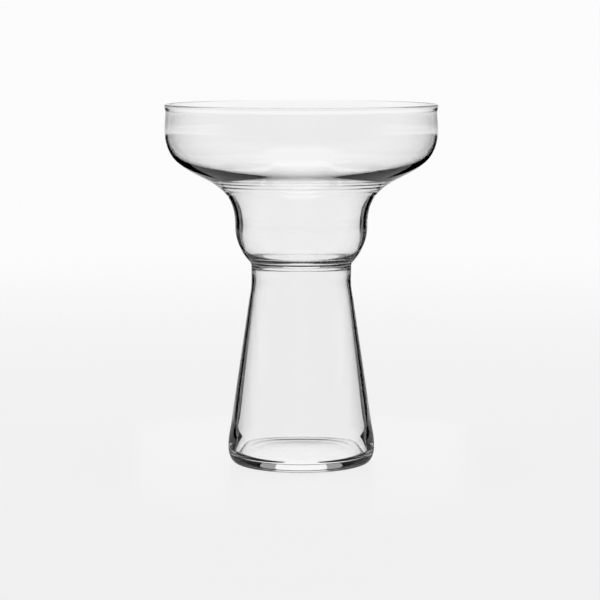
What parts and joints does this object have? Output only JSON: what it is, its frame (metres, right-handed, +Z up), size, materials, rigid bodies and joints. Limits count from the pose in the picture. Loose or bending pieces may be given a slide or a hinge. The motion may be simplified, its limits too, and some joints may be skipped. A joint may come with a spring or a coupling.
{
  "type": "stemmed cocktail glass",
  "caption": "Clear cocktail glass: a wide round bowl steps down into a rounded well, fused at a waist to a hollow conical stem that a dished foot closes below.",
  "frame": {"origin": "on the table, under the middle of the foot, level with the resting ring", "axes": "+Z is up along the axis that the whole glass is turned about; X and Y are alike"},
  "size_m": [0.1174, 0.1174, 0.155],
  "materials": {
    "foot_glass": "clear polished soda-lime glass, a little greyer in its thickness",
    "stem_glass": "clear polished soda-lime glass",
    "well_glass": "clear polished soda-lime glass",
    "bowl_glass": "clear polished soda-lime glass with a fire-polished rim"
  },
  "bodies": {
    "root": {"foot": "foot_glass", "stem": "stem_glass", "well": "well_glass", "bowl": "bowl_glass"}
  },
  "joints": []
}
